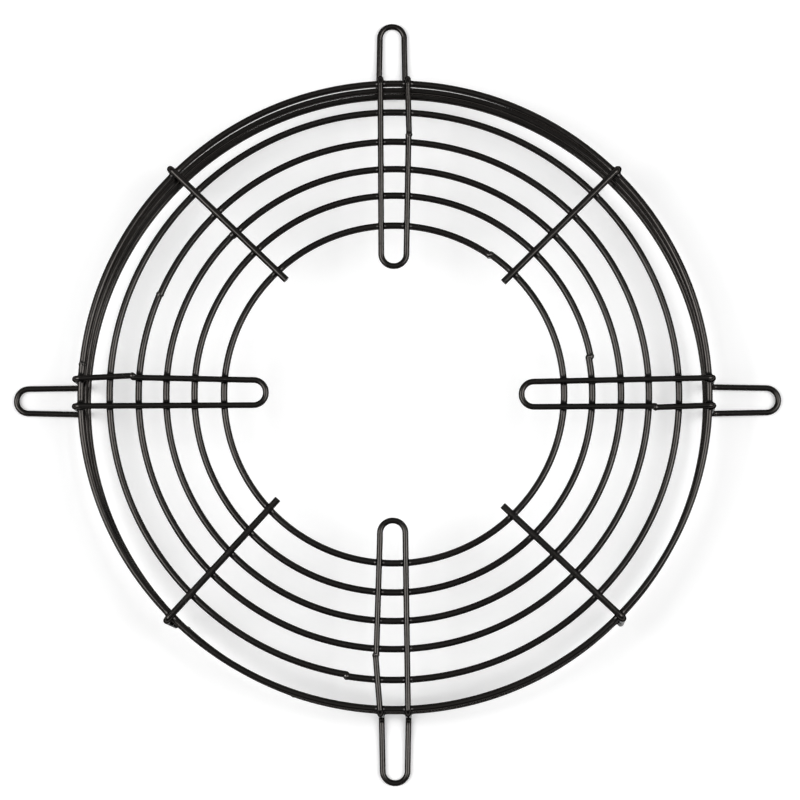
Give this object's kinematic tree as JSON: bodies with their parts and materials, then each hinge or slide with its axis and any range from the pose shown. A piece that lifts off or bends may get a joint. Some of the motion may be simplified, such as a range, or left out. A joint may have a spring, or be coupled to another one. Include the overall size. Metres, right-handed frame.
{
  "type": "wire fan guard",
  "caption": "Round basket guard of coated steel wire for an axial fan, with concentric rings, a short wall and U-shaped mounting loops at the back.",
  "frame": {"origin": "on the fan axis, at the height of the underside of the mounting loops", "axes": "+Z along the fan axis from the mounting loops to the front face, +Y towards the top hairpin, +X to the right seen from the front"},
  "size_m": [0.2927, 0.2921, 0.0363],
  "materials": {
    "wire_coating": "black semi-gloss coating on drawn steel wire"
  },
  "bodies": {
    "root": {"face_ring_1": "wire_coating", "face_ring_2": "wire_coating", "face_ring_3": "wire_coating", "face_ring_4": "wire_coating", "face_ring_5": "wire_coating", "rim_ring": "wire_coating", "wall_ring_middle": "wire_coating", "wall_ring_rear": "wire_coating", "hairpin_top": "wire_coating", "hairpin_left": "wire_coating", "hairpin_bottom": "wire_coating", "hairpin_right": "wire_coating", "stay_top_right": "wire_coating", "stay_top_left": "wire_coating", "stay_bottom_left": "wire_coating", "stay_bottom_right": "wire_coating"}
  },
  "joints": []
}
